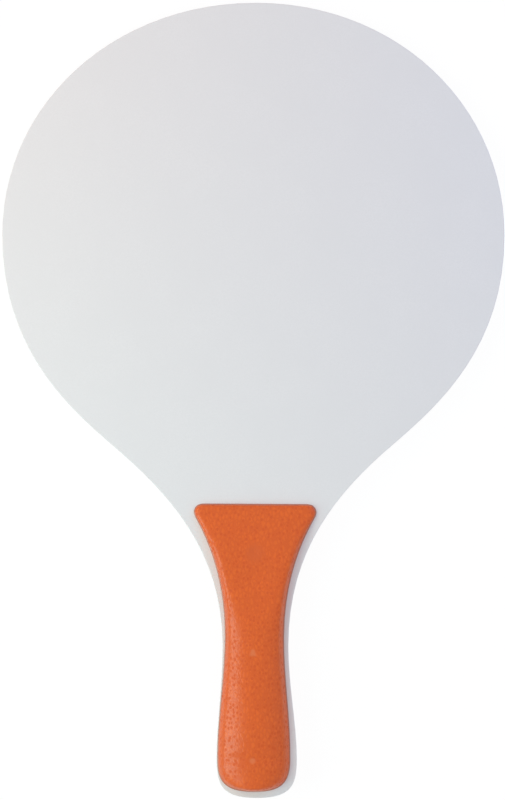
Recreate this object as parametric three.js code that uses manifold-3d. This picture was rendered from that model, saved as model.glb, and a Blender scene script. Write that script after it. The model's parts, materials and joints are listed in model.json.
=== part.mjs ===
// Beach tennis racket: a faced board with a moulded grip half on each side of its handle.
// Millimetres. +Y runs from the butt to the head, +Z leaves the front face, and the origin is the middle of the box.

import * as THREE from 'three';
import * as BufferGeometryUtils from 'three/addons/utils/BufferGeometryUtils.js';
import Module from 'manifold-3d';

// Driving dimensions of the board. Heights run along the racket from the end of its butt.
const overallLength = 380;
const headWidth = 240;
const headWidestHeight = 268.9;
const shoulderWidth = 133.3;
const shoulderHeight = 168.4;
const shoulderAngleDegrees = 49.4;
const waistWidth = 31.5;
const waistHeight = 72.7;
const buttWidth = 38.4;
const buttWidestHeight = 18.8;
const coreThickness = 4.5;
const facingThickness = 0.25;

// The board is cut a little out of true: how far these places lie to the right of the head's centre line.
const headTopShift = 1.3;
const shoulderShift = -0.5;
const waistShift = 1;
const buttShift = 1.6;

// How far the tangents of each quarter turn reach towards its corner.
const headTopShares = [0.5625, 0.5625];
const buttShares = [0.66, 0.88];

// How long the end tangents of each other curve are, as shares of the drop between its ends.
const headTangentShares = [0.527, 0.304];
const shoulderTangentShares = [0.353, 0.484];
const handleTangentShares = [0.352, 0.308];

// Driving dimensions of a grip half. Its heights run from its own butt end, inside the board's by gripButtMargin.
const gripLength = 137.75;
const gripButtMargin = 2.9;
const waistMargin = 1.55;
const waistRaise = 4.5;
const buttSideMargin = 1.65;
const gripTopWidth = 58.9;
const gripTopCornerRadius = 4;
const gripFlareAngleDegrees = 29;
const gripShift = 0.5;
const gripTurnDegrees = 0.32;
const gripFlareTangentShares = [0.2, 0.5];
const gripHandleTangentShares = [0.35, 0.355];
const gripButtShares = [0.7, 0.8];

// The crown of a grip half: how far it stands off the board, and how square its section is, from butt to top.
const footHeight = 1.4;
const endEase = 2.6;
const buttRise = 9.2;
const palmRise = 9.6;
const waistRise = 8.2;
const flareRise = 6.8;
const topRise = 3;
const crownStations = [
  { lengthShare: 0, rise: buttRise, squareness: 1.95 },
  { lengthShare: 0.175, rise: palmRise, squareness: 1.95 },
  { lengthShare: 0.525, rise: waistRise, squareness: 2.35 },
  { lengthShare: 0.79, rise: flareRise, squareness: 5.5 },
  { lengthShare: 1, rise: topRise, squareness: 8 },
];
const thumbHollowInset = 29.75;
const thumbHollowLength = 40;
const thumbHollowWidth = 36;
const thumbHollowDepth = 0.7;

// Inside of a grip half.
const gripWall = 1.8;
const ribThickness = 1.2;
const ribRelief = 0.3;
const ribsPerPinPitch = 4;
const bossRadius = 4.2;
const socketDepth = 4.1;

// The three pins through the board, which both grip halves sit on.
const upperPinInset = 22.65;
const lowerPinInset = 16.3;
const pinRadius = 2;
const pinClearance = 0.3;
const pinChamfer = 0.5;

// How finely the curves are cut.
const headSteps = 26;
const lowerHeadSteps = 16;
const shoulderSteps = 16;
const handleSteps = 8;
const buttSteps = 14;
const topEdgeSteps = 6;
const cornerSteps = 4;
const flareSteps = 10;
const easeSteps = 2;
const skinRings = 11;
const hollowRings = 5;
const roundSteps = 24;
const cutOverrun = 1;

// Sizes that follow from the driving ones.
const bladeThickness = coreThickness + 2 * facingThickness;
const gripWaistWidth = waistWidth - 2 * waistMargin;
const gripButtWidth = buttWidth - 2 * buttSideMargin;
const pinPitch = (gripLength - upperPinInset - lowerPinInset) / 2;
const middlePinHeight = lowerPinInset + pinPitch;
const pinLength = bladeThickness + 2 * (socketDepth - pinClearance);
const pinOffsets = { lower_pin: -pinPitch, middle_pin: 0, upper_pin: pinPitch };
const ribPitch = pinPitch / ribsPerPinPitch;
const gripTurn = THREE.MathUtils.degToRad(gripTurnDegrees);
const down = new THREE.Vector2(0, -1);

// Heights as the frames count them: the board's y starts mid-length, and a grip half's y at its middle pin.
const boardY = (height) => height - overallLength / 2;
const gripY = (height) => height - middlePinHeight;
const gripTopY = gripY(gripLength);
const gripWaistY = gripY(waistHeight + waistRaise - gripButtMargin);
const gripButtY = gripY(buttWidestHeight - gripButtMargin);

const wasm = await Module();
wasm.setup();

// A closed geometry as a solid that can be cut and joined.
function toSolid(geometry) {
  const bare = geometry.clone();
  bare.deleteAttribute('normal');
  bare.deleteAttribute('uv');
  const merged = BufferGeometryUtils.mergeVertices(bare);
  return new wasm.Manifold(new wasm.Mesh({
    numProp: 3,
    vertProperties: new Float32Array(merged.attributes.position.array),
    triVerts: new Uint32Array(merged.index.array),
  }));
}

function toGeometry(solid) {
  const mesh = solid.getMesh();
  const geometry = new THREE.BufferGeometry();
  geometry.setAttribute('position', new THREE.BufferAttribute(new Float32Array(mesh.vertProperties), 3));
  geometry.setIndex(new THREE.BufferAttribute(new Uint32Array(mesh.triVerts), 1));
  geometry.computeVertexNormals();
  return geometry;
}

// A curve that leaves its start and reaches its end along the given directions.
function easedCurve(start, leaving, end, arriving, tangentShares) {
  const drop = start.y - end.y;
  const first = start.clone().addScaledVector(leaving, drop * tangentShares[0]);
  const second = end.clone().addScaledVector(arriving, -drop * tangentShares[1]);
  return new THREE.CubicBezierCurve(start, first, second, end);
}

// A quarter turn round a corner. The shares say how far towards the corner its end tangents reach.
function quarterTurn(start, corner, end, shares) {
  const first = start.clone().lerp(corner, shares[0]);
  const second = end.clone().lerp(corner, shares[1]);
  return new THREE.CubicBezierCurve(start, first, second, end);
}

// A direction that runs towards the butt and leans in to the centre line.
function inwards(side, degrees) {
  const angle = THREE.MathUtils.degToRad(degrees);
  return new THREE.Vector2(-side * Math.sin(angle), -Math.cos(angle));
}

// Joins curves, each with its number of steps, into one run of points.
function chain(pieces) {
  const points = [pieces[0][0].getPoint(0)];
  for (const [curve, steps] of pieces) {
    points.push(...curve.getPoints(steps).slice(1));
  }
  return points;
}

// A closed anticlockwise outline from two sides that run from the top to the butt.
function closeOutline(rightSide, leftSide) {
  return [...leftSide, ...rightSide.slice(1, -1).reverse()];
}

// The outline moved in by a distance, point for point.
function insetOutline(outline, distance) {
  return outline.map((point, index) => {
    const before = outline.at(index - 1);
    const after = outline[(index + 1) % outline.length];
    const along = after.clone().sub(before).normalize();
    return new THREE.Vector2(point.x - along.y * distance, point.y + along.x * distance);
  });
}

function distanceToOutline(point, outline) {
  let nearest = Infinity;
  outline.forEach((start, index) => {
    const end = outline[(index + 1) % outline.length];
    const edge = end.clone().sub(start);
    const share = THREE.MathUtils.clamp(point.clone().sub(start).dot(edge) / edge.lengthSq(), 0, 1);
    nearest = Math.min(nearest, start.clone().addScaledVector(edge, share).distanceTo(point));
  });
  return nearest;
}

const ringAt = (outline, z) => outline.map((point) => new THREE.Vector3(point.x, point.y, z));

// A closed body through rings of equal length, lowest first. The last ring is capped, or closes on itself.
function bodyThrough(rings, capTop) {
  const count = rings[0].length;
  const indices = [];
  const cap = (ring) => THREE.ShapeUtils.triangulateShape(ring.map((p) => new THREE.Vector2(p.x, p.y)), []);
  for (const [a, b, c] of cap(rings[0])) {
    indices.push(a, c, b);
  }
  for (let ring = 0; ring < rings.length - 1; ring += 1) {
    for (let i = 0; i < count; i += 1) {
      const low = ring * count + i;
      const lowNext = ring * count + (i + 1) % count;
      indices.push(low, lowNext, lowNext + count, low, lowNext + count, low + count);
    }
  }
  if (capTop) {
    const base = (rings.length - 1) * count;
    for (const [a, b, c] of cap(rings.at(-1))) {
      indices.push(base + a, base + b, base + c);
    }
  }
  const geometry = new THREE.BufferGeometry().setFromPoints(rings.flat());
  geometry.setIndex(indices);
  return dropThinTriangles(BufferGeometryUtils.mergeVertices(geometry));
}

// Where points have merged, a triangle that names one point twice is left out.
function dropThinTriangles(geometry) {
  const source = geometry.index.array;
  const kept = [];
  for (let i = 0; i < source.length; i += 3) {
    const [a, b, c] = source.slice(i, i + 3);
    if (a !== b && b !== c && c !== a) {
      kept.push(a, b, c);
    }
  }
  geometry.setIndex(kept);
  return geometry;
}

function cylinder(radius, lowZ, highZ, x, y) {
  const geometry = new THREE.CylinderGeometry(radius, radius, highZ - lowZ, roundSteps);
  geometry.rotateX(Math.PI / 2);
  geometry.translate(x, y, (lowZ + highZ) / 2);
  return toSolid(geometry);
}

function box(width, length, lowZ, highZ, y) {
  const geometry = new THREE.BoxGeometry(width, length, highZ - lowZ);
  geometry.translate(0, y, (lowZ + highZ) / 2);
  return toSolid(geometry);
}

// One side of the board, from the top of the head to the end of the butt.
function boardSide(side) {
  const top = new THREE.Vector2(headTopShift, boardY(overallLength));
  const widest = new THREE.Vector2(side * headWidth / 2, boardY(headWidestHeight));
  const shoulder = new THREE.Vector2(shoulderShift + side * shoulderWidth / 2, boardY(shoulderHeight));
  const waist = new THREE.Vector2(waistShift + side * waistWidth / 2, boardY(waistHeight));
  const butt = new THREE.Vector2(buttShift + side * buttWidth / 2, boardY(buttWidestHeight));
  const end = new THREE.Vector2(buttShift, boardY(0));
  const lean = inwards(side, shoulderAngleDegrees);
  return chain([
    [quarterTurn(top, new THREE.Vector2(widest.x, top.y), widest, headTopShares), headSteps],
    [easedCurve(widest, down, shoulder, lean, headTangentShares), lowerHeadSteps],
    [easedCurve(shoulder, lean, waist, down, shoulderTangentShares), shoulderSteps],
    [easedCurve(waist, down, butt, down, handleTangentShares), handleSteps],
    [quarterTurn(butt, new THREE.Vector2(butt.x, end.y), end, buttShares), buttSteps],
  ]);
}

const boardOutline = closeOutline(boardSide(1), boardSide(-1));

// The grip halves and pins share this place on the board, a little off its centre line and turned.
const gripPlace = new THREE.Vector2(gripShift, boardY(gripButtMargin + middlePinHeight));

// Drills the three pin holes through a layer of the board.
function drilled(layer) {
  let solid = toSolid(layer);
  for (const offset of Object.values(pinOffsets)) {
    const x = gripPlace.x + Math.sin(gripTurn) * offset;
    const y = gripPlace.y + Math.cos(gripTurn) * offset;
    const reach = bladeThickness / 2 + cutOverrun;
    solid = solid.subtract(cylinder(pinRadius + pinClearance, -reach, reach, x, y));
  }
  return toGeometry(solid);
}

function coreGeometry() {
  const rings = [-coreThickness / 2, coreThickness / 2].map((z) => ringAt(boardOutline, z));
  return drilled(bodyThrough(rings, true));
}

// A facing, glued to the core on one side (1 front, -1 back), with its outer edge rounded over.
function facingGeometry(side) {
  const rings = [];
  for (let step = 0; step <= easeSteps; step += 1) {
    const angle = (step / easeSteps) * (Math.PI / 2);
    const inset = facingThickness * (1 - Math.cos(angle));
    const z = coreThickness / 2 + facingThickness * Math.sin(angle);
    rings.push(ringAt(insetOutline(boardOutline, inset), side * z));
  }
  return drilled(bodyThrough(side > 0 ? rings : rings.reverse(), true));
}

// One side of a grip half, from the middle of its square top to the end of its butt.
function gripSide(side) {
  const radius = gripTopCornerRadius;
  const flare = THREE.MathUtils.degToRad(gripFlareAngleDegrees);
  const centreX = side * (gripTopWidth / 2 - radius);
  const sideAngle = side > 0 ? -flare : Math.PI + flare;
  const corner = new THREE.EllipseCurve(
    centreX, gripTopY - radius, radius, radius, Math.PI / 2, sideAngle, side > 0,
  );
  const waist = new THREE.Vector2(side * gripWaistWidth / 2, gripWaistY);
  const butt = new THREE.Vector2(side * gripButtWidth / 2, gripButtY);
  const end = new THREE.Vector2(0, gripY(0));
  const lean = inwards(side, gripFlareAngleDegrees);
  return chain([
    [new THREE.LineCurve(new THREE.Vector2(0, gripTopY), corner.getPoint(0)), topEdgeSteps],
    [corner, cornerSteps],
    [easedCurve(corner.getPoint(1), lean, waist, down, gripFlareTangentShares), flareSteps],
    [easedCurve(waist, down, butt, down, gripHandleTangentShares), handleSteps],
    [quarterTurn(butt, new THREE.Vector2(butt.x, end.y), end, gripButtShares), buttSteps],
  ]);
}

const gripRightSide = gripSide(1);
const gripOutline = closeOutline(gripRightSide, gripSide(-1));

// Half of the grip's width at y.
function gripHalfWidth(y) {
  const index = gripRightSide.findIndex((point, i) => i > 0 && point.y <= y && point.y < gripRightSide[i - 1].y);
  if (index < 0) {
    return 0;
  }
  const below = gripRightSide[index];
  const above = gripRightSide[index - 1];
  return THREE.MathUtils.mapLinear(Math.min(y, above.y), below.y, above.y, below.x, above.x);
}

// How far the crown stands off the board at y, and how square its section is there.
function crownAt(y) {
  const share = THREE.MathUtils.clamp((y + middlePinHeight) / gripLength, 0, 1);
  const index = Math.max(1, crownStations.findIndex((station) => station.lengthShare >= share));
  const low = crownStations[index - 1];
  const high = crownStations[index];
  const blend = THREE.MathUtils.smoothstep(share, low.lengthShare, high.lengthShare);
  return {
    rise: THREE.MathUtils.lerp(low.rise, high.rise, blend),
    squareness: THREE.MathUtils.lerp(low.squareness, high.squareness, blend),
  };
}

// The shallow rest for a thumb in the flared top.
function thumbHollow(point) {
  const across = point.x / (thumbHollowWidth / 2);
  const along = (point.y - gripTopY + thumbHollowInset) / (thumbHollowLength / 2);
  return thumbHollowDepth * Math.max(0, 1 - across * across - along * along) ** 2;
}

// Height of the moulding's skin over the board.
function skinHeight(point) {
  const { rise, squareness } = crownAt(point.y);
  const across = Math.min(1, Math.abs(point.x) / Math.max(gripHalfWidth(point.y), Number.EPSILON));
  const section = (1 - across ** squareness) ** (1 / squareness);
  const ease = Math.max(0, 1 - distanceToOutline(point, gripOutline) / endEase);
  return footHeight + (rise - footHeight - thumbHollow(point)) * section * Math.sqrt(1 - ease * ease);
}

// A body over an outline: straight up from lowZ, then rings that close in on the moulding's spine.
function domedBody(outline, ringCount, lowZ, heightAt) {
  const rings = [ringAt(outline, lowZ)];
  for (let ring = 0; ring <= ringCount; ring += 1) {
    const share = 1 - Math.cos((ring / ringCount) * (Math.PI / 2));
    rings.push(outline.map((edge) => {
      const spine = new THREE.Vector2(0, THREE.MathUtils.clamp(edge.y, gripButtY, gripTopY - upperPinInset));
      const point = edge.clone().lerp(spine, ring === ringCount ? 1 : share);
      return new THREE.Vector3(point.x, point.y, heightAt(point));
    }));
  }
  return bodyThrough(rings, false);
}

// Ribs and bosses that brace the hollow of a moulding.
function bracing() {
  const top = palmRise + cutOverrun;
  const parts = [box(ribThickness, 2 * pinPitch, ribRelief, top, 0)];
  for (const offset of Object.values(pinOffsets)) {
    parts.push(cylinder(bossRadius, 0, top, 0, offset));
  }
  const room = ribPitch / 2 + gripWall;
  for (let y = -pinPitch; y > gripY(0) + room; y -= ribPitch) {
    parts.push(box(gripTopWidth, ribThickness, ribRelief, top, y));
  }
  for (let y = ribPitch - pinPitch; y < gripTopY - room; y += ribPitch) {
    parts.push(box(gripTopWidth, ribThickness, ribRelief, top, y));
  }
  return parts.reduce((joined, part) => joined.add(part));
}

// A grip half, seated on z = 0: a crowned skin, hollow and ribbed, with a socket for each pin.
function gripGeometry() {
  const skin = toSolid(domedBody(gripOutline, skinRings, 0, skinHeight));
  const hollowOutline = insetOutline(gripOutline, gripWall);
  const hollowHeight = (point) => Math.max(ribRelief, skinHeight(point) - gripWall);
  const hollow = toSolid(domedBody(hollowOutline, hollowRings, -cutOverrun, hollowHeight));
  let moulding = skin.subtract(hollow.subtract(bracing()));
  for (const offset of Object.values(pinOffsets)) {
    moulding = moulding.subtract(cylinder(pinRadius + pinClearance, -cutOverrun, socketDepth, 0, offset));
  }
  return toGeometry(moulding);
}

// A pin with chamfered ends, along z.
function pinGeometry() {
  const half = pinLength / 2;
  const profile = [
    new THREE.Vector2(0, -half),
    new THREE.Vector2(pinRadius - pinChamfer, -half),
    new THREE.Vector2(pinRadius, pinChamfer - half),
    new THREE.Vector2(pinRadius, half - pinChamfer),
    new THREE.Vector2(pinRadius - pinChamfer, half),
    new THREE.Vector2(0, half),
  ];
  const geometry = new THREE.LatheGeometry(profile, roundSteps);
  geometry.rotateX(Math.PI / 2);
  return geometry;
}

const fibreboardBrown = new THREE.MeshStandardMaterial({ color: 0xae8e6e, roughness: 0.8, metalness: 0 });
const facingWhite = new THREE.MeshStandardMaterial({ color: 0xe4e4e6, roughness: 0.42, metalness: 0 });
const gripOrange = new THREE.MeshStandardMaterial({ color: 0xd6642f, roughness: 0.5, metalness: 0 });
const pinBeige = new THREE.MeshStandardMaterial({ color: 0xc9a878, roughness: 0.7, metalness: 0 });

function named(name, geometry, material) {
  const mesh = new THREE.Mesh(geometry, material);
  mesh.name = name;
  return mesh;
}

const handleSet = new THREE.Group();
handleSet.position.set(gripPlace.x, gripPlace.y, 0);
handleSet.rotation.z = -gripTurn;

const gripHalf = gripGeometry();
const frontGrip = named('front_grip', gripHalf, gripOrange);
frontGrip.position.z = bladeThickness / 2;
const backGrip = named('back_grip', gripHalf, gripOrange);
backGrip.position.z = -bladeThickness / 2;
backGrip.rotation.y = Math.PI;
handleSet.add(frontGrip, backGrip);

for (const [name, offset] of Object.entries(pinOffsets)) {
  const pin = named(name, pinGeometry(), pinBeige);
  pin.position.y = offset;
  handleSet.add(pin);
}

const racket = new THREE.Group();
racket.add(
  named('blade_core', coreGeometry(), fibreboardBrown),
  named('front_facing', facingGeometry(1), facingWhite),
  named('back_facing', facingGeometry(-1), facingWhite),
  handleSet,
);

export default racket;
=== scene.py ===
"""Dresses and lights a beach tennis racket, a foil-faced board with a moulded grip half a side."""

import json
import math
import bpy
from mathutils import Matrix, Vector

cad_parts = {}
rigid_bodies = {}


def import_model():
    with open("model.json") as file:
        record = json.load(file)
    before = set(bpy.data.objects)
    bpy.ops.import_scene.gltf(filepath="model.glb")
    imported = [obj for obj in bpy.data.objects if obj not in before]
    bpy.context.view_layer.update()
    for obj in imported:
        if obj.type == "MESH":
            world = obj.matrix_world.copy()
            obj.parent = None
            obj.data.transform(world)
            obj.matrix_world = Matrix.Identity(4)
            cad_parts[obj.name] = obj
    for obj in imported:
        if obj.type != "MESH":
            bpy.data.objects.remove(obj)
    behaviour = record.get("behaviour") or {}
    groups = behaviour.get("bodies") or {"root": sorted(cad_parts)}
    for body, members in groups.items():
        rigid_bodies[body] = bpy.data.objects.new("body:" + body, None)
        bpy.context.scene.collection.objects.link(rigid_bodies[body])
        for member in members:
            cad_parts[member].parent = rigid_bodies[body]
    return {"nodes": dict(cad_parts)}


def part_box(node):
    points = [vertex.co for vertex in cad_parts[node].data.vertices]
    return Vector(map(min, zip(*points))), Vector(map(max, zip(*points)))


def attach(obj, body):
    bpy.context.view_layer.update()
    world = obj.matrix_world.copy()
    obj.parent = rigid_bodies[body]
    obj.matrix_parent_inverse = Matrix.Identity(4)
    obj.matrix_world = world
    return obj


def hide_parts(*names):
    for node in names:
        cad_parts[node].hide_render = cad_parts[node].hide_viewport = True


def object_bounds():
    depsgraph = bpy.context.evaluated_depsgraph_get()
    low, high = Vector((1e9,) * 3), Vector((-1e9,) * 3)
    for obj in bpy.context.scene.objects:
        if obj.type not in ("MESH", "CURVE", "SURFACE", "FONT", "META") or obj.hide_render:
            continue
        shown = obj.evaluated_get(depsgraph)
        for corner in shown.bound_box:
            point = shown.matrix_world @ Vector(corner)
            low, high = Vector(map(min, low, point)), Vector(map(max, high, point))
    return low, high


bl_info = {
    "name": "Beach tennis racket",
    "version": (1, 0, 0),
    "blender": (4, 5, 0),
    "location": "View3D > Sidebar > Racket",
    "description": "Dresses and lights a foil-faced board racket with a moulded grip",
    "category": "Object",
}

import bpy
from bpy.props import FloatProperty, FloatVectorProperty, IntProperty, PointerProperty
from bpy.types import Operator, Panel, PropertyGroup
from mathutils import Vector

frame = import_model()
CAD_LOW, CAD_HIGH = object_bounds()
BODY = "root"
FRONT = 1
BACK = -1
BOSS_PINS = ("lower_pin", "middle_pin", "upper_pin")
FACE_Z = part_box("front_facing")[1].z
MERGE_DISTANCE = 1e-6
WHITE = (1.0, 1.0, 1.0)


# Mesh helpers


def pick(piece):
    """Makes a piece the only selected one and the active one."""
    bpy.ops.object.select_all(action="DESELECT")
    piece.select_set(True)
    bpy.context.view_layer.objects.active = piece


def merged_copy(node, name):
    """A copy of a CAD node as a new piece, with its loose triangles merged into one skin."""
    piece = bpy.data.objects.new(name, frame["nodes"][node].data.copy())
    piece.data.name = name
    piece.data.materials.clear()
    bpy.context.scene.collection.objects.link(piece)
    pick(piece)
    bpy.ops.mesh.customdata_custom_splitnormals_clear()
    bpy.ops.object.mode_set(mode="EDIT")
    bpy.ops.mesh.select_all(action="SELECT")
    bpy.ops.mesh.remove_doubles(threshold=MERGE_DISTANCE)
    bpy.ops.object.mode_set(mode="OBJECT")
    return piece


def boss_place(pin):
    """Where a pin and its boss stand, on the board's plane."""
    low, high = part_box(pin)
    return ((low + high) / 2).xy


def select_only(piece, element, wanted):
    """Selects the vertices or polygons that wanted accepts, and enters edit mode."""
    pick(piece)
    bpy.ops.object.mode_set(mode="EDIT")
    bpy.ops.mesh.select_mode(type={"vertices": "VERT", "polygons": "FACE"}[element])
    bpy.ops.mesh.select_all(action="DESELECT")
    bpy.ops.object.mode_set(mode="OBJECT")
    for item in getattr(piece.data, element):
        item.select = wanted(item)
    bpy.ops.object.mode_set(mode="EDIT")


def apply_modifier(piece, kind, **settings):
    """Adds a modifier with these settings and applies it."""
    pick(piece)
    modifier = piece.modifiers.new(kind.title(), kind)
    for setting, value in settings.items():
        setattr(modifier, setting, value)
    bpy.ops.object.modifier_apply(modifier=modifier.name)


def finish_piece(piece, nodes, material):
    """Gives a piece its material, and lets it stand for its CAD nodes and move with their body."""
    piece.data.materials.append(material)
    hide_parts(*nodes)
    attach(piece, BODY)


# Shader node groups


# Noise that bends the grain, wrinkles it, and makes a mottle's patches and flecks
DRIFT_NOISE = {"detail": 1.0, "roughness": 0.5}
WRINKLE_NOISE = {"detail": 2.0, "roughness": 0.6}
PATCH_NOISE = {"detail": 2.0, "roughness": 0.5}
FLECK_NOISE = {"detail": 3.0, "roughness": 0.65}
# Noise values between which a mottle goes from one tone to the other
NOISE_LOW, NOISE_HIGH = 0.3, 0.7
# Parts of a cell: how far a crease reaches into a pebble, and where a pit's floor and rim are
CREASE_REACH = 0.32
PIT_FLOOR, PIT_RIM = 0.22, 0.46
# The length of a pit over its width, and how far the pits stray from even rows
PIT_STRETCH = 1.15
PIT_DISORDER = 0.8


def new_group(name, inputs, outputs):
    """An empty shader node group with float sockets, besides a vector input called Place."""
    group = bpy.data.node_groups.new(name, "ShaderNodeTree")
    group.interface.new_socket("Place", in_out="INPUT", socket_type="NodeSocketVector")
    for socket, default in inputs.items():
        made = group.interface.new_socket(socket, in_out="INPUT", socket_type="NodeSocketFloat")
        made.default_value = default
    for socket in outputs:
        group.interface.new_socket(socket, in_out="OUTPUT", socket_type="NodeSocketFloat")
    start = group.nodes.new("NodeGroupInput")
    end = group.nodes.new("NodeGroupOutput")
    return group, start, end


def add_math(tree, operation, *operands):
    """The result of a math node. Each operand is a socket or a number."""
    node = tree.nodes.new("ShaderNodeMath")
    node.operation = operation
    for socket, operand in zip(node.inputs, operands):
        if isinstance(operand, (int, float)):
            socket.default_value = operand
        else:
            tree.links.new(operand, socket)
    return node.outputs["Value"]


def add_range(tree, value, low, high, new_low=0.0, new_high=1.0):
    """A value mapped smoothly from one span to another."""
    node = tree.nodes.new("ShaderNodeMapRange")
    node.interpolation_type = "SMOOTHSTEP"
    node.inputs["From Min"].default_value = low
    node.inputs["From Max"].default_value = high
    node.inputs["To Min"].default_value = new_low
    node.inputs["To Max"].default_value = new_high
    tree.links.new(value, node.inputs["Value"])
    return node.outputs["Result"]


def add_fade(tree, value, inner, outer):
    """A share that is 1 up to the inner value, and fades to 0 at the outer one."""
    return add_range(tree, value, inner, outer, 1.0, 0.0)


def add_cells(tree, place, size, stretch):
    """Turns a place in metres into cells of this size, longer along the racket by stretch."""
    across = add_math(tree, "DIVIDE", 1.0, size)
    along = add_math(tree, "DIVIDE", across, stretch)
    scale = tree.nodes.new("ShaderNodeCombineXYZ")
    for socket, value in zip(scale.inputs, (across, along, across)):
        tree.links.new(value, socket)
    node = tree.nodes.new("ShaderNodeVectorMath")
    node.operation = "MULTIPLY"
    tree.links.new(place, node.inputs[0])
    tree.links.new(scale.outputs["Vector"], node.inputs[1])
    return node.outputs["Vector"]


def add_noise(tree, place, detail, roughness):
    """A noise texture of unit scale on cells."""
    node = tree.nodes.new("ShaderNodeTexNoise")
    node.inputs["Scale"].default_value = 1.0
    node.inputs["Detail"].default_value = detail
    node.inputs["Roughness"].default_value = roughness
    tree.links.new(place, node.inputs["Vector"])
    return node


def add_voronoi(tree, place, feature, disorder):
    """Distance in a voronoi texture of unit scale on cells."""
    node = tree.nodes.new("ShaderNodeTexVoronoi")
    node.feature = feature
    node.inputs["Scale"].default_value = 1.0
    node.inputs["Randomness"].default_value = disorder
    tree.links.new(place, node.inputs["Vector"])
    return node.outputs["Distance"]


def build_leather_grain():
    """Leather grain of a mould: long pebbles, parted by soft creases, with small pits."""
    inputs = {
        "Pebble Size": 0.0016,
        "Stretch": 1.6,
        "Wander": 0.6,
        "Crease Depth": 0.55,
        "Pit Spacing": 0.002,
        "Pit Depth": 0.85,
        "Wrinkle": 0.3,
    }
    group, start, end = new_group("Leather grain", inputs, ("Height", "Hollows", "Pits"))
    place = start.outputs["Place"]
    drift_cells = add_cells(group, place, start.outputs["Pebble Size"], start.outputs["Stretch"])
    drift = add_noise(group, drift_cells, **DRIFT_NOISE)
    bend = group.nodes.new("ShaderNodeVectorMath")
    bend.operation = "SCALE"
    group.links.new(drift.outputs["Color"], bend.inputs[0])
    group.links.new(start.outputs["Wander"], bend.inputs["Scale"])
    bent = group.nodes.new("ShaderNodeVectorMath")
    bent.operation = "ADD"
    group.links.new(drift_cells, bent.inputs[0])
    group.links.new(bend.outputs["Vector"], bent.inputs[1])
    edges = add_voronoi(group, bent.outputs["Vector"], "DISTANCE_TO_EDGE", disorder=1.0)
    creases = add_fade(group, edges, 0.0, CREASE_REACH)
    pit_cells = add_cells(group, place, start.outputs["Pit Spacing"], PIT_STRETCH)
    pits = add_fade(group, add_voronoi(group, pit_cells, "F1", PIT_DISORDER), PIT_FLOOR, PIT_RIM)
    hollows = add_math(
        group,
        "MAXIMUM",
        add_math(group, "MULTIPLY", creases, start.outputs["Crease Depth"]),
        add_math(group, "MULTIPLY", pits, start.outputs["Pit Depth"]),
    )
    wrinkle = add_noise(group, bent.outputs["Vector"], **WRINKLE_NOISE)
    fine = add_math(group, "MULTIPLY", wrinkle.outputs["Fac"], start.outputs["Wrinkle"])
    group.links.new(add_math(group, "SUBTRACT", fine, hollows), end.inputs["Height"])
    group.links.new(hollows, end.inputs["Hollows"])
    group.links.new(pits, end.inputs["Pits"])
    return group


def build_mottle():
    """Uneven tone of a made surface: broad soft patches, and fine flecks."""
    inputs = {"Patch Size": 0.03, "Fleck Size": 0.0006, "Stretch": 1.0}
    group, start, end = new_group("Mottle", inputs, ("Patches", "Flecks"))
    place, stretch = start.outputs["Place"], start.outputs["Stretch"]
    for size, spots, kind in (
        ("Patch Size", "Patches", PATCH_NOISE),
        ("Fleck Size", "Flecks", FLECK_NOISE),
    ):
        cells = add_cells(group, place, start.outputs[size], stretch)
        noise = add_noise(group, cells, **kind)
        spread = add_range(group, noise.outputs["Fac"], NOISE_LOW, NOISE_HIGH)
        group.links.new(spread, end.inputs[spots])
    return group


def node_group(name):
    """A shader node group, built when it is first asked for."""
    builders = {"Leather grain": build_leather_grain, "Mottle": build_mottle}
    return bpy.data.node_groups.get(name) or builders[name]()


# Materials


# The colour sockets of a mix node, which has others by the same names
MIX_COLOURS = (6, 7)
MIX_RESULT = 2
# The share of a spot's radius that is fully coloured
SPOT_CORE = 0.3
# How much narrower a patch is at its upper end, and how soft its sides and its ends are
PATCH_TAPER = 0.5
PATCH_SIDE_BLUR = 0.6
PATCH_END_BLUR = 0.2
# Sizes in metres of the broad patches of each surface, and of the finest flecks
FOIL_PATCH_SIZE = 0.025
BOARD_PATCH_SIZE = 0.004
GRIP_PATCH_SIZE = 0.012
PIN_PATCH_SIZE = 0.003
FINE_FLECK_SIZE = 0.0002
# How much longer than wide the fibreboard's fibres are
FIBRE_STRETCH = 3.0
# Shares of light that the darker tone of each surface lacks
FOIL_PATCH_SHADE, FOIL_FLECK_SHADE = 0.02, 0.03
BOARD_PATCH_SHADE, BOARD_FLECK_SHADE = 0.12, 0.35
GRIP_PATCH_SHADE = 0.05
PIN_PATCH_SHADE = 0.08
# How roughness varies: up and down on the foil, from fleck to fleck, and in the grip's pits
FOIL_ROUGHNESS_SPREAD = 0.04
BOARD_ROUGHNESS = (0.9, 0.75)
PIT_ROUGHNESS_RISE = 0.25
PIN_ROUGHNESS = (0.4, 0.5)
# Level of the fibreboard's reflections
BOARD_GLOSS = 0.3
# The depth of the grip's grain over that of the fine flecks on it
GRAIN_OVER_FLECKS = 20


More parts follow.
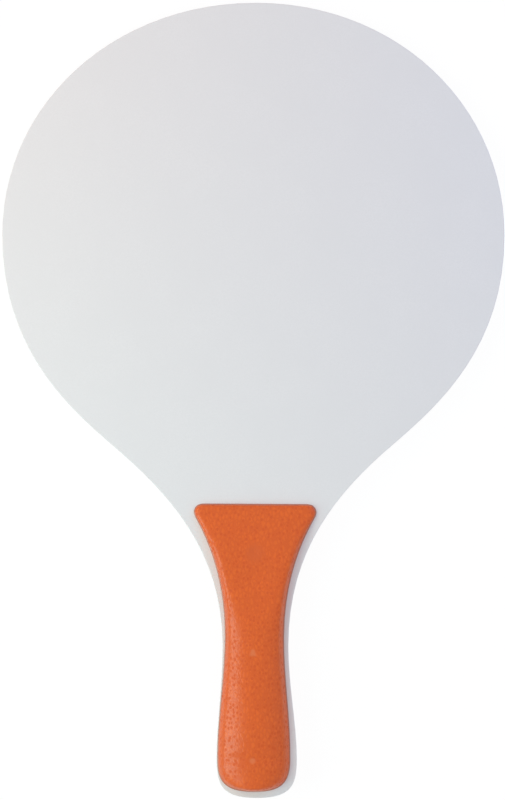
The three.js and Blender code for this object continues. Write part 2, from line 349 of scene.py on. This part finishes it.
class Finish:
    """A material under work: its tree, its shader and the place on the piece."""

    def __init__(self, name):
        self.material = bpy.data.materials.new(name)
        self.material.use_nodes = True
        self.tree = self.material.node_tree
        self.shader = self.tree.nodes["Principled BSDF"]
        self.place = self.tree.nodes.new("ShaderNodeTexCoord").outputs["Object"]

    def group(self, name, **values):
        """Places a node group, with its own values."""
        node = self.tree.nodes.new("ShaderNodeGroup")
        node.node_tree = node_group(name)
        for socket, value in values.items():
            node.inputs[socket.replace("_", " ").title()].default_value = value
        self.tree.links.new(self.place, node.inputs["Place"])
        return node.outputs

    def blend(self, share, first, second):
        """A colour between two, by a share from 0 to 1. Each is a socket or a colour."""
        node = self.tree.nodes.new("ShaderNodeMix")
        node.data_type = "RGBA"
        self.tree.links.new(share, node.inputs["Factor"])
        for index, colour in zip(MIX_COLOURS, (first, second)):
            if isinstance(colour, bpy.types.NodeSocket):
                self.tree.links.new(colour, node.inputs[index])
            else:
                node.inputs[index].default_value = (*colour, 1.0)
        return node.outputs[MIX_RESULT]

    def split_place(self):
        """The place on the piece, split into X, Y and Z."""
        node = self.tree.nodes.new("ShaderNodeSeparateXYZ")
        self.tree.links.new(self.place, node.inputs["Vector"])
        return node.outputs

    def height_share(self, low, high):
        """A share that goes from 0 to 1 between two distances from the board's mid plane."""
        height = add_math(self.tree, "ABSOLUTE", self.split_place()["Z"])
        return add_range(self.tree, height, low, high)

    def spot(self, place, radius):
        """A share that is 1 at the axis through this place, and fades to 0 at this radius."""
        flat = self.tree.nodes.new("ShaderNodeVectorMath")
        flat.operation = "MULTIPLY"
        flat.inputs[1].default_value = (1.0, 1.0, 0.0)
        self.tree.links.new(self.place, flat.inputs[0])
        reach = self.tree.nodes.new("ShaderNodeVectorMath")
        reach.operation = "DISTANCE"
        reach.inputs[1].default_value = (*place, 0.0)
        self.tree.links.new(flat.outputs["Vector"], reach.inputs[0])
        return add_fade(self.tree, reach.outputs["Value"], SPOT_CORE * radius, radius)

    def patch(self, place, size):
        """A share that is 1 within a square patch of this size, tapered towards the head."""
        tree = self.tree
        split = self.split_place()
        across = add_math(tree, "ABSOLUTE", add_math(tree, "SUBTRACT", split["X"], place.x))
        up = add_math(tree, "DIVIDE", add_math(tree, "SUBTRACT", split["Y"], place.y), size)
        half = size / 2
        middle = half * (1 - PATCH_TAPER / 2)
        half_width = add_math(tree, "MULTIPLY_ADD", up, -half * PATCH_TAPER, middle)
        aside = add_math(tree, "DIVIDE", across, half_width)
        beside = add_fade(tree, aside, 1 - PATCH_SIDE_BLUR, 1 + PATCH_SIDE_BLUR)
        past_middle = add_math(tree, "ABSOLUTE", up)
        along = add_fade(tree, past_middle, 1 / 2 - PATCH_END_BLUR, 1 / 2 + PATCH_END_BLUR)
        return add_math(tree, "MULTIPLY", beside, along)

    def colour(self, socket):
        """The colour of the surface."""
        self.tree.links.new(socket, self.shader.inputs["Base Color"])

    def roughness(self, share, low, high):
        """Roughness that follows a share from 0 to 1."""
        spread = add_range(self.tree, share, 0.0, 1.0, low, high)
        self.tree.links.new(spread, self.shader.inputs["Roughness"])

    def bump(self, height, depth):
        """Relief of this depth in metres, over any relief that was added before."""
        node = self.tree.nodes.new("ShaderNodeBump")
        node.inputs["Distance"].default_value = depth
        self.tree.links.new(height, node.inputs["Height"])
        for link in self.shader.inputs["Normal"].links:
            self.tree.links.new(link.from_socket, node.inputs["Normal"])
        self.tree.links.new(node.outputs["Normal"], self.shader.inputs["Normal"])


def darker(colour, share):
    """A colour with this share of its light taken away."""
    return tuple(channel * (1.0 - share) for channel in colour)


def foil_finish(settings):
    """White satin foil on fibreboard, whose fibres show through as the faintest relief."""
    finish = Finish("White satin foil")
    mottle = finish.group("Mottle", patch_size=FOIL_PATCH_SIZE, fleck_size=settings.foil_texture)
    colour, roughness = settings.foil_colour, settings.foil_roughness
    tone = finish.blend(mottle["Patches"], colour, darker(colour, FOIL_PATCH_SHADE))
    finish.colour(finish.blend(mottle["Flecks"], tone, darker(colour, FOIL_FLECK_SHADE)))
    finish.roughness(
        mottle["Patches"], roughness - FOIL_ROUGHNESS_SPREAD, roughness + FOIL_ROUGHNESS_SPREAD
    )
    finish.bump(mottle["Flecks"], settings.foil_relief)
    return finish.material


def fibreboard_finish(settings):
    """The cut edge of a fibreboard: pressed fibres, with pores and darker layers."""
    finish = Finish("Fibreboard edge")
    layers = finish.group(
        "Mottle",
        patch_size=BOARD_PATCH_SIZE,
        fleck_size=settings.fibre_size,
        stretch=FIBRE_STRETCH,
    )
    colour = settings.edge_colour
    tone = finish.blend(layers["Patches"], colour, darker(colour, BOARD_PATCH_SHADE))
    finish.colour(finish.blend(layers["Flecks"], darker(colour, BOARD_FLECK_SHADE), tone))
    finish.roughness(layers["Flecks"], *BOARD_ROUGHNESS)
    finish.bump(layers["Flecks"], settings.fibre_relief)
    finish.shader.inputs["Specular IOR Level"].default_value = BOARD_GLOSS
    return finish.material


def grip_finish(settings):
    """Orange moulded plastic with a leather grain, satin on the pebbles and duller in the pits. Its
    colour holds painted shade in the grain's hollows and along the foot, and a painted highlight
    and a painted shade over the bosses.
    """
    finish = Finish("Orange grained plastic")
    grain = finish.group(
        "Leather grain", pebble_size=settings.pebble_size, stretch=settings.pebble_stretch
    )
    mottle = finish.group("Mottle", patch_size=GRIP_PATCH_SIZE, fleck_size=FINE_FLECK_SIZE)
    shade = darker(settings.colour, GRIP_PATCH_SHADE)
    body = finish.blend(mottle["Patches"], settings.colour, shade)
    # Painted shade: the colour is darker in the grain's creases and pits.
    tone = finish.blend(grain["Hollows"], body, settings.crease_shade_colour)
    lower, middle, upper = (boss_place(pin) for pin in BOSS_PINS)
    # Painted shade: the colour is duller and darker over the upper boss, where its sink mark holds
    # less sheen.
    dull = finish.spot(upper + Vector(settings.upper_mark_offset), settings.upper_mark_radius)
    tone = finish.blend(dull, tone, settings.shade_mark_colour)
    # Painted highlight: the colour is paler over the middle and lower bosses, where light catches
    # their sink marks.
    for mark in (
        finish.patch(middle + Vector(settings.middle_mark_offset), settings.middle_mark_size),
        finish.spot(lower + Vector(settings.lower_mark_offset), settings.lower_mark_radius),
    ):
        tone = finish.blend(mark, tone, settings.highlight_mark_colour)
    # Painted shade: a dark band in the colour along the foot, where the grip meets the board.
    foot = finish.height_share(FACE_Z + settings.toe, FACE_Z)
    finish.colour(finish.blend(foot, tone, settings.joint_shade_colour))
    finish.roughness(grain["Pits"], settings.roughness, settings.roughness + PIT_ROUGHNESS_RISE)
    finish.bump(mottle["Flecks"], settings.grain_relief / GRAIN_OVER_FLECKS)
    finish.bump(grain["Height"], settings.grain_relief)
    finish.shader.inputs["Specular IOR Level"].default_value = settings.gloss
    return finish.material


def peg_finish(settings):
    """Natural moulded plastic of the pins, a little cloudy."""
    finish = Finish("Natural peg plastic")
    mottle = finish.group("Mottle", patch_size=PIN_PATCH_SIZE, fleck_size=FINE_FLECK_SIZE)
    shade = darker(settings.colour, PIN_PATCH_SHADE)
    finish.colour(finish.blend(mottle["Patches"], settings.colour, shade))
    finish.roughness(mottle["Patches"], *PIN_ROUGHNESS)
    finish.bump(mottle["Flecks"], settings.relief)
    return finish.material


# Settings


def colour_setting(name, description, default):
    """A colour, in linear light."""
    return FloatVectorProperty(
        name=name,
        description=description,
        subtype="COLOR",
        size=3,
        min=0.0,
        max=1.0,
        default=default,
    )


def length_setting(name, description, default):
    """A length in metres."""
    return FloatProperty(
        name=name,
        description=description,
        subtype="DISTANCE",
        unit="LENGTH",
        min=0.0,
        precision=5,
        default=default,
    )


def place_setting(name, description, default):
    """A place or a pair of lengths, in metres."""
    return FloatVectorProperty(
        name=name,
        description=description,
        subtype="XYZ",
        unit="LENGTH",
        size=len(default),
        precision=5,
        default=default,
    )


def angle_setting(name, description, degrees):
    """An angle, given in degrees."""
    return FloatProperty(
        name=name, description=description, subtype="ANGLE", default=math.radians(degrees)
    )


def amount_setting(name, description, default):
    """A number that isn't negative."""
    return FloatProperty(name=name, description=description, min=0.0, default=default)


def share_setting(name, description, default):
    """A share from 0 to 1."""
    return FloatProperty(
        name=name, description=description, subtype="FACTOR", min=0.0, max=1.0, default=default
    )


class RacketBoardSettings(PropertyGroup):
    """Finish of the board and its facings."""

    foil_colour: colour_setting("Foil colour", "Colour of both faces", (0.778, 0.755, 0.746))
    foil_roughness: share_setting("Foil roughness", "How dull the faces are", 0.5)
    foil_texture: length_setting("Foil texture", "Size of the foil's fine texture", 0.0007)
    foil_relief: length_setting("Foil relief", "Depth of the foil's fine texture", 0.000006)
    edge_colour: colour_setting("Edge colour", "Colour of the cut fibreboard", (0.42, 0.27, 0.155))
    fibre_size: length_setting("Fibre size", "Size of the fibres in the cut edge", 0.00035)
    fibre_relief: length_setting("Fibre relief", "Depth of the pores in the cut edge", 0.00008)
    rim_angle: angle_setting("Rim angle", "Corners flatter than this are shaded as round", 15)


class RacketGripSettings(PropertyGroup):
    """Shape and finish of the moulded grip halves."""

    colour: colour_setting("Colour", "Colour of the plastic", (0.769, 0.121, 0.0062))
    # The crease colour is painted shade in the grain's creases and pits.
    crease_shade_colour: colour_setting(
        "Crease colour", "Colour deep in the grain", (0.631, 0.08, 0.0036)
    )
    # The joint colour is painted shade along the grip's foot, where it meets the board.
    joint_shade_colour: colour_setting(
        "Joint colour", "Colour of the dust in the joint with the board", (0.44, 0.21, 0.15)
    )
    # The mark colour is a painted highlight over the sink marks of the middle and lower bosses.
    highlight_mark_colour: colour_setting(
        "Mark colour", "Paler plastic over the lower bosses", (0.735, 0.158, 0.042)
    )
    lower_mark_radius: length_setting(
        "Lower mark radius", "Reach of the mark over the lower boss", 0.0021
    )
    lower_mark_offset: place_setting(
        "Lower mark offset", "Place of the mark on its boss", (-0.0006, -0.0004)
    )
    middle_mark_size: length_setting(
        "Middle mark size", "Size of the mark over the middle boss", 0.0031
    )
    middle_mark_offset: place_setting(
        "Middle mark offset", "Place of the mark on its boss", (-0.0007, 0.0015)
    )
    # The upper mark colour is painted shade over the sink mark of the upper boss.
    shade_mark_colour: colour_setting(
        "Upper mark colour", "Duller plastic over the upper boss", (0.668, 0.102, 0.0095)
    )
    upper_mark_radius: length_setting(
        "Upper mark radius", "Reach of the mark over the upper boss", 0.0065
    )
    upper_mark_offset: place_setting(
        "Upper mark offset", "Place of the mark on its boss", (0.0, -0.0008)
    )
    roughness: share_setting("Roughness", "How dull the pebbles of the grain are", 0.33)
    gloss: share_setting("Gloss", "Level of the plastic's reflections", 0.45)
    pebble_size: length_setting("Pebble size", "Width of a pebble of the grain", 0.0017)
    pebble_stretch: FloatProperty(
        name="Pebble stretch", description="Length of a pebble over its width", min=0.1, default=1.6
    )
    grain_relief: length_setting("Grain relief", "Depth of the grain", 0.00007)
    skin_detail: length_setting("Skin detail", "Size of the faces of the smoothed skin", 0.00045)
    smoothing: IntProperty(name="Smoothing", description="Rounds of smoothing", min=0, default=8)
    smoothness: share_setting("Smoothness", "How far a round of smoothing goes", 0.5)
    shade_angle: angle_setting("Shade angle", "Corners flatter than this are shaded as round", 40)
    rim_overrun: length_setting(
        "Rim overrun", "How far the skin runs past its seat while it is smoothed", 0.0025
    )
    toe: length_setting("Toe", "Width and height of the thin flared foot along the seat", 0.0007)
    sink_radius: length_setting("Sink radius", "Reach of the sink mark over each boss", 0.003)
    sink_depth: length_setting("Sink depth", "Depth of the sink mark over each boss", 0.00024)
    rib_sink_reach: length_setting(
        "Rib sink reach", "Reach of the sink line over the lowest boss's ribs", 0.004
    )
    rib_sink_depth: length_setting(
        "Rib sink depth", "Depth of the sink line over the lowest boss's ribs", 0.00042
    )


class RacketPinSettings(PropertyGroup):
    """Finish of the pins."""

    colour: colour_setting("Colour", "Colour of the pins", (0.74, 0.68, 0.55))
    relief: length_setting("Relief", "Depth of the pins' fine texture", 0.00001)


class RacketStageSettings(PropertyGroup):
    """Camera, lamps and floor."""

    camera_distance: length_setting("Camera distance", "Height of the camera over the face", 1.5)
    view_height: length_setting("View height", "Length that the frame takes in at the face", 0.3822)
    view_centre: place_setting(
        "View centre", "Place on the face in the middle of the frame", (-0.00038, 0.0002)
    )
    key_place: place_setting(
        "Key place", "Place of the softbox beside the grip", (-0.45, -0.23, 0.33)
    )
    key_aim: place_setting("Key aim", "Point that the softbox looks at", (0.0, -0.12, 0.0))
    key_size: place_setting("Key size", "Length and height of the softbox", (0.26, 0.5))
    key_power: amount_setting("Key power", "Power of the softbox in watts", 1.4)
    key_colour: colour_setting("Key colour", "Colour of the softbox", (0.6, 1.0, 0.97))
    warm_place: place_setting(
        "Warm place", "Place of the warm lamp at the left of the head", (-0.45, 0.25, 0.45)
    )
    warm_aim: place_setting("Warm aim", "Point that the warm lamp looks at", (0.0, 0.05, 0.0))
    warm_size: place_setting("Warm size", "Length and height of the warm lamp", (0.3, 0.3))
    warm_power: amount_setting("Warm power", "Power of the warm lamp in watts", 1.14)
    warm_colour: colour_setting("Warm colour", "Colour of the warm lamp", (1.0, 0.72, 0.59))
    cool_place: place_setting(
        "Cool place", "Place of the cool lamp at the right of the head", (0.45, 0.2, 0.35)
    )
    cool_aim: place_setting("Cool aim", "Point that the cool lamp looks at", (0.05, 0.08, 0.0))
    cool_size: place_setting("Cool size", "Length and height of the cool lamp", (0.3, 0.4))
    cool_power: amount_setting("Cool power", "Power of the cool lamp in watts", 0.6)
    cool_colour: colour_setting("Cool colour", "Colour of the cool lamp", (0.05, 0.28, 1.0))
    under_place: place_setting("Under place", "Place of the lamp under the floor", (0.0, 0.0, -0.6))
    under_aim: place_setting(
        "Under aim", "Point that the lamp under the floor looks at", (0.0, 0.0, 0.0)
    )
    under_size: place_setting(
        "Under size", "Length and height of the lamp under the floor", (0.5, 0.5)
    )
    under_power: amount_setting("Under power", "Power of the lamp under the floor in watts", 2.0)
    under_colour: colour_setting("Under colour", "Colour of the lamp under the floor", WHITE)
    room_light: amount_setting("Room light", "Strength of the even light", 0.66)
    floor_colour: colour_setting("Floor colour", "Colour of the pale floor", (0.8, 0.8, 0.8))
    floor_reach: length_setting("Floor reach", "Half of the floor's width", 3.0)
    floor_shadow: share_setting("Floor shadow", "How much of a shadow shows on the floor", 0.06)


# Board


class RACKET_OT_board(Operator):
    """Dresses the fibreboard core and the white foil on each face of it"""

    bl_idname = "racket.board"
    bl_label = "Board"

    def execute(self, context):
        settings = context.scene.racket_board
        foil = foil_finish(settings)
        layers = (
            ("board_core", "blade_core", "board", fibreboard_finish(settings)),
            ("front_foil", "front_facing", "facing", foil),
            ("back_foil", "back_facing", "facing", foil),
        )
        for name, node, slot, material in layers:
            layer = merged_copy(node, name)
            bpy.ops.object.shade_smooth_by_angle(angle=settings.rim_angle)
            finish_piece(layer, [node], material)
        return {"FINISHED"}


# Grips


# Faces whose normal leans this far towards the board belong to the seat and the hollow
TOWARDS_BOARD = -0.5
# The share of the grip's height over the board that counts as its crown's flank
FLANK_SHARE = 1 / 3


def keep_outer_skin(grip, side):
    """Deletes the hollow, ribs and bosses, which the board covers, and opens the skin's seat."""
    select_only(grip, "polygons", lambda polygon: polygon.normal.z * side < TOWARDS_BOARD)
    bpy.ops.mesh.delete(type="FACE")
    bpy.ops.object.mode_set(mode="OBJECT")
    crown = max(grip.data.vertices, key=lambda vertex: vertex.co.z * side).index
    select_only(grip, "vertices", lambda vertex: vertex.index == crown)
    bpy.ops.mesh.select_linked()
    bpy.ops.mesh.select_all(action="INVERT")
    bpy.ops.mesh.delete(type="VERT")


def close_past_seat(grip, side, overrun):
    """Draws the open rim straight down past the seat, and fills it."""
    bpy.ops.mesh.select_mode(type="EDGE")
    bpy.ops.mesh.select_non_manifold(extend=False)
    bpy.ops.mesh.extrude_region_move(TRANSFORM_OT_translate={"value": (0, 0, -side * overrun)})
    bpy.ops.mesh.edge_face_add()
    bpy.ops.mesh.select_all(action="SELECT")
    bpy.ops.mesh.normals_make_consistent(inside=False)
    bpy.ops.object.mode_set(mode="OBJECT")


def seat_with_toe(grip, side, toe, crown):
    """Cuts the skin where it sits on the board, brings its crown to height and flares its foot."""
    pick(grip)
    seat = Vector((0, 0, side * FACE_Z))
    bpy.ops.object.mode_set(mode="EDIT")
    bpy.ops.mesh.select_all(action="SELECT")
    bpy.ops.mesh.bisect(plane_co=seat, plane_no=(0, 0, side), clear_inner=True, use_fill=False)
    bpy.ops.mesh.select_mode(type="EDGE")
    bpy.ops.mesh.select_all(action="DESELECT")
    bpy.ops.mesh.select_non_manifold(extend=False)
    bpy.ops.transform.shrink_fatten(value=toe)
    bpy.ops.mesh.edge_face_add()
    bpy.ops.mesh.select_all(action="SELECT")
    bpy.ops.mesh.normals_make_consistent(inside=False)
    bpy.ops.object.mode_set(mode="OBJECT")
    highest = max(vertex.co.z * side for vertex in grip.data.vertices)
    stretch = (crown - FACE_Z) / (highest - FACE_Z)
    bpy.ops.object.mode_set(mode="EDIT")
    bpy.ops.transform.resize(value=(1, 1, stretch), center_override=seat)
    bpy.ops.object.mode_set(mode="OBJECT")


def draw_in(grip, side, wanted, reach, depth):
    """Sinks the skin round the vertices that wanted accepts, fading out over reach."""
    select_only(grip, "vertices", wanted)
    bpy.ops.transform.translate(
        value=(0, 0, -side * depth),
        use_proportional_edit=True,
        proportional_edit_falloff="SMOOTH",
        proportional_size=reach,
    )
    bpy.ops.object.mode_set(mode="OBJECT")


def add_sink_marks(grip, side, settings):
    """Sink marks over the three bosses, and a sink line over the ribs beside the lowest one."""
    flank = FACE_Z + (CAD_HIGH.z - FACE_Z) * FLANK_SHARE
    for pin in BOSS_PINS:
        place = boss_place(pin)
        nearest = min(
            (vertex for vertex in grip.data.vertices if vertex.co.z * side > flank),
            key=lambda vertex: (vertex.co.xy - place).length,
        ).index
        draw_in(
            grip,
            side,
            lambda vertex: vertex.index == nearest,
            settings.sink_radius,
            settings.sink_depth,
        )
    rib = boss_place(BOSS_PINS[0])
    half_row = settings.skin_detail / 2
    draw_in(
        grip,
        side,
        lambda vertex: vertex.co.z * side > flank and abs(vertex.co.y - rib.y) < half_row,
        settings.rib_sink_reach,
        settings.rib_sink_depth,
    )


class RACKET_OT_grips(Operator):
    """Dresses the two moulded grip halves: a smoothed skin with sink marks and a leather grain"""

    bl_idname = "racket.grips"
    bl_label = "Grips"

    def execute(self, context):
        settings = context.scene.racket_grips
        material = grip_finish(settings)
        for name, node, side in (
            ("front_grip_skin", "front_grip", FRONT),
            ("back_grip_skin", "back_grip", BACK),
        ):
            grip = merged_copy(node, name)
            keep_outer_skin(grip, side)
            close_past_seat(grip, side, settings.rim_overrun)
            apply_modifier(grip, "REMESH", mode="VOXEL", voxel_size=settings.skin_detail)
            apply_modifier(grip, "DISPLACE", strength=-settings.toe, mid_level=0.0)
            apply_modifier(
                grip, "SMOOTH", factor=settings.smoothness, iterations=settings.smoothing
            )
            seat_with_toe(grip, side, settings.toe, CAD_HIGH.z)
            add_sink_marks(grip, side, settings)
            if len(grip.data.polygons) < len(frame["nodes"][node].data.polygons):
                raise RuntimeError(f"{name} lost its skin while it was smoothed")
            pick(grip)
            bpy.ops.object.shade_smooth_by_angle(angle=settings.shade_angle)
            finish_piece(grip, [node], material)
        return {"FINISHED"}


# Pins


class RACKET_OT_pins(Operator):
    """Gives the three pins through the board their plastic"""

    bl_idname = "racket.pins"
    bl_label = "Pins"

    def execute(self, context):
        material = peg_finish(context.scene.racket_pins)
        for pin in BOSS_PINS:
            for slot in frame["nodes"][pin].material_slots:
                slot.material = material
        return {"FINISHED"}


# Stage


# Rounds in which the floor's slope settles between the grip and the head
SLOPE_ROUNDS = 4
# The light on the open floor, which the floor's own glow makes up to white
OPEN_FLOOR_LIGHT = 0.8


def resting_line():
    """The slope and a point of the floor, on which the back grip and the head's rim both rest."""
    grip = [vertex.co for vertex in frame["nodes"]["back_grip"].data.vertices]
    head = [vertex.co for vertex in frame["nodes"]["back_facing"].data.vertices if vertex.co.y > 0]
    slope = 0.0
    for _ in range(SLOPE_ROUNDS):
        heel = min(grip, key=lambda point: point.z - slope * point.y)
        slope = min((point.z - heel.z) / (point.y - heel.y) for point in head)
    return slope, heel


def add_lamp(name, settings):
    """An area lamp that looks at a point of the racket, by the settings that bear its name."""
    place, aim, size, power, colour = (
        getattr(settings, f"{name.lower()}_{setting}")
        for setting in ("place", "aim", "size", "power", "colour")
    )
    lamp = bpy.data.lights.new(name, "AREA")
    lamp.shape = "RECTANGLE"
    lamp.size, lamp.size_y = size
    lamp.energy = power
    lamp.color = colour
    holder = bpy.data.objects.new(name, lamp)
    holder.location = place
    holder.rotation_euler = (Vector(aim) - Vector(place)).to_track_quat("-Z", "Y").to_euler()
    holder.visible_camera = False
    bpy.context.scene.collection.objects.link(holder)


def seen_directly(tree):
    """A socket that is 1 for rays from the camera, a mirror or a glass, and 0 for other rays."""
    path = tree.nodes.new("ShaderNodeLightPath")
    glossy = add_math(tree, "MAXIMUM", path.outputs["Is Camera Ray"], path.outputs["Is Glossy Ray"])
    return add_math(tree, "MAXIMUM", glossy, path.outputs["Is Transmission Ray"])


def build_world(settings):
    """Even room light, which is white where it is seen directly."""
    world = bpy.data.worlds.new("Room")
    world.use_nodes = True
    tree = world.node_tree
    background = tree.nodes["Background"]
    background.inputs["Color"].default_value = (*WHITE, 1.0)
    strength = add_range(tree, seen_directly(tree), 0.0, 1.0, settings.room_light, 1.0)
    tree.links.new(strength, background.inputs["Strength"])
    bpy.context.scene.world = world


def floor_material(settings):
    """A pale floor: white but for a soft shadow where seen, clear from below and to lamps."""
    material = bpy.data.materials.new("Pale floor")
    material.use_nodes = True
    tree = material.node_tree
    tree.nodes.remove(tree.nodes["Principled BSDF"])
    plain = tree.nodes.new("ShaderNodeBsdfDiffuse")
    plain.inputs["Color"].default_value = (*settings.floor_colour, 1.0)
    shaded = tree.nodes.new("ShaderNodeBsdfDiffuse")
    shaded.inputs["Color"].default_value = (*[settings.floor_shadow] * 3, 1.0)
    white = tree.nodes.new("ShaderNodeEmission")
    white.inputs["Strength"].default_value = 1.0 - settings.floor_shadow * OPEN_FLOOR_LIGHT
    seen = tree.nodes.new("ShaderNodeAddShader")
    tree.links.new(shaded.outputs["BSDF"], seen.inputs[0])
    tree.links.new(white.outputs["Emission"], seen.inputs[1])
    top = tree.nodes.new("ShaderNodeMixShader")
    tree.links.new(seen_directly(tree), top.inputs["Fac"])
    tree.links.new(plain.outputs["BSDF"], top.inputs[1])
    tree.links.new(seen.outputs["Shader"], top.inputs[2])
    clear = tree.nodes.new("ShaderNodeBsdfTransparent")
    either = tree.nodes.new("ShaderNodeMixShader")
    from_below = tree.nodes.new("ShaderNodeNewGeometry").outputs["Backfacing"]
    to_lamp = tree.nodes.new("ShaderNodeLightPath").outputs["Is Shadow Ray"]
    tree.links.new(add_math(tree, "MAXIMUM", from_below, to_lamp), either.inputs["Fac"])
    tree.links.new(top.outputs["Shader"], either.inputs[1])
    tree.links.new(clear.outputs["BSDF"], either.inputs[2])
    tree.links.new(either.outputs["Shader"], tree.nodes["Material Output"].inputs["Surface"])
    return material


def add_floor(settings):
    """The floor, tilted so that it touches the back grip and the rim of the head."""
    slope, heel = resting_line()
    bpy.ops.mesh.primitive_plane_add(
        size=2 * settings.floor_reach,
        location=(0, 0, heel.z - slope * heel.y),
        rotation=(math.atan(slope), 0, 0),
    )
    floor = bpy.context.active_object
    floor.name = "floor"
    bpy.ops.object.transform_apply(location=True, rotation=True, scale=True)
    floor.data.materials.append(floor_material(settings))


def add_camera(settings):
    """A camera straight over the face, with the head up."""
    camera = bpy.data.cameras.new("Camera")
    camera.lens = camera.sensor_width * settings.camera_distance / settings.view_height
    holder = bpy.data.objects.new("Camera", camera)
    holder.location = (*settings.view_centre, FACE_Z + settings.camera_distance)
    bpy.context.scene.collection.objects.link(holder)
    bpy.context.scene.camera = holder


class RACKET_OT_stage(Operator):
    """Sets up the camera, the lamps, the room light and the floor"""

    bl_idname = "racket.stage"
    bl_label = "Stage"

    def execute(self, context):
        settings = context.scene.racket_stage
        context.scene.view_settings.view_transform = "Standard"
        add_camera(settings)
        for name in ("Key", "Warm", "Cool", "Under"):
            add_lamp(name, settings)
        build_world(settings)
        add_floor(settings)
        return {"FINISHED"}


# Panel and registration


class VIEW3D_PT_racket(Panel):
    """Lists the pieces and their settings"""

    bl_label = "Beach tennis racket"
    bl_idname = "VIEW3D_PT_racket"
    bl_space_type = "VIEW_3D"
    bl_region_type = "UI"
    bl_category = "Racket"

    def draw(self, context):
        scene = context.scene
        for operator, settings in (
            (RACKET_OT_board, scene.racket_board),
            (RACKET_OT_grips, scene.racket_grips),
            (RACKET_OT_pins, scene.racket_pins),
            (RACKET_OT_stage, scene.racket_stage),
        ):
            box = self.layout.box()
            box.operator(operator.bl_idname)
            for name in settings.__annotations__:
                box.prop(settings, name)


SETTINGS = {
    "racket_board": RacketBoardSettings,
    "racket_grips": RacketGripSettings,
    "racket_pins": RacketPinSettings,
    "racket_stage": RacketStageSettings,
}
CLASSES = (
    *SETTINGS.values(),
    RACKET_OT_board,
    RACKET_OT_grips,
    RACKET_OT_pins,
    RACKET_OT_stage,
    VIEW3D_PT_racket,
)


def register():
    for item in CLASSES:
        bpy.utils.register_class(item)
    for name, settings in SETTINGS.items():
        setattr(bpy.types.Scene, name, PointerProperty(type=settings))


def unregister():
    for name in SETTINGS:
        delattr(bpy.types.Scene, name)
    for item in reversed(CLASSES):
        bpy.utils.unregister_class(item)


def main():
    register()
    bpy.ops.racket.board()
    bpy.ops.racket.grips()
    bpy.ops.racket.pins()
    bpy.ops.racket.stage()


if __name__ == "__main__":
    main()
